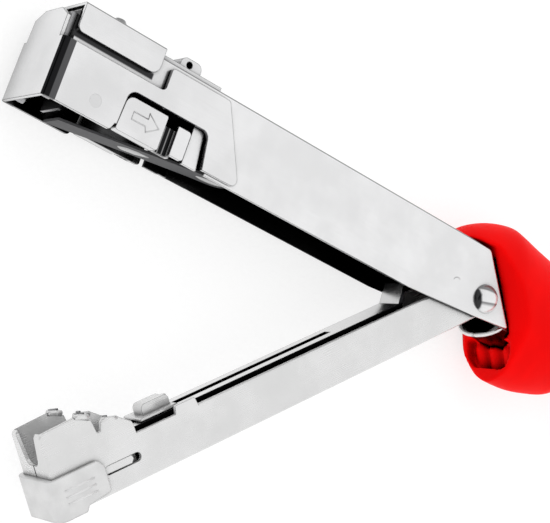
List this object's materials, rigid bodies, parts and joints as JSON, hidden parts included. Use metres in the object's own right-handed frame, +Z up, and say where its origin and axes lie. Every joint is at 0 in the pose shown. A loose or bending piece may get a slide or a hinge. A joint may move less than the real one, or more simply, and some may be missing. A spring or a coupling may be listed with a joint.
{
  "type": "hammer tacker",
  "caption": "Hammer tacker opened for loading: folded steel arm with a boxed driver head, a hinged staple magazine with a nose shoe, and a moulded grip with a flared guard.",
  "frame": {"origin": "on the surface the tool lies on, under the middle of the opened tool", "axes": "+X towards the grip, +Z up out of the near side, +Y from the magazine towards the arm"},
  "size_m": [0.2998, 0.1488, 0.0351],
  "materials": {
    "arm_chrome": "bright nickel-chrome plate, polished",
    "head_chrome": "bright nickel-chrome plate, polished",
    "latch_steel": "plated steel, lightly brushed",
    "magazine_nickel": "satin nickel plate",
    "shoe_metal": "matte cast metal",
    "grip_red": "smooth matte moulded",
    "tube_steel": "plated steel tube",
    "rivet_steel": "polished rivet steel",
    "blade_steel": "hardened steel",
    "spring_steel": "dark spring steel"
  },
  "bodies": {
    "arm": {"main_channel": "arm_chrome", "head_jacket": "head_chrome", "head_cover": "head_chrome", "top_strap": "head_chrome", "cover_rivets": "rivet_steel", "strap_rivets": "rivet_steel", "tongue_rivets": "rivet_steel", "driver_holder": "blade_steel", "driver_blade": "blade_steel", "driver_rivets": "rivet_steel", "return_spring": "spring_steel", "spring_crossbar": "rivet_steel", "latch_spring": "spring_steel", "hinge_pin": "rivet_steel", "hinge_washers": "rivet_steel", "handle_tube": "tube_steel", "grip": "grip_red"},
    "latch": {"latch_slider": "latch_steel"},
    "magazine": {"magazine_channel": "magazine_nickel", "nose_shoe": "shoe_metal", "shoe_pin": "rivet_steel", "feed_track": "magazine_nickel", "staple_rail": "magazine_nickel", "rail_foot": "magazine_nickel", "rail_rivets": "rivet_steel", "spring_rod": "rivet_steel", "rear_plug": "rivet_steel", "hinge_bush": "rivet_steel", "pusher_spring": "spring_steel"},
    "pusher": {"pusher": "magazine_nickel", "pusher_key": "magazine_nickel"}
  },
  "joints": [
    {"name": "magazine_hinge", "type": "hinge", "parent": "arm", "child": "magazine", "pos_m": [0.02115, -0.01265, 0.01757], "axis": [0, 0, -1], "range_deg": [-39, 39], "deforming": ["return_spring"]},
    {"name": "latch_slide", "type": "slide", "parent": "arm", "child": "latch", "axis": [0.9216, -0.3882, 0], "range_m": [0, 0.004], "stiffness_N_per_m": 600, "springref_m": -0.004, "deforming": ["latch_spring"]},
    {"name": "pusher_slide", "type": "slide", "parent": "magazine", "child": "pusher", "axis": [0.9487, 0.3161, 0], "range_m": [0, 0.066], "stiffness_N_per_m": 50, "springref_m": -0.06, "deforming": ["pusher_spring"]}
  ]
}
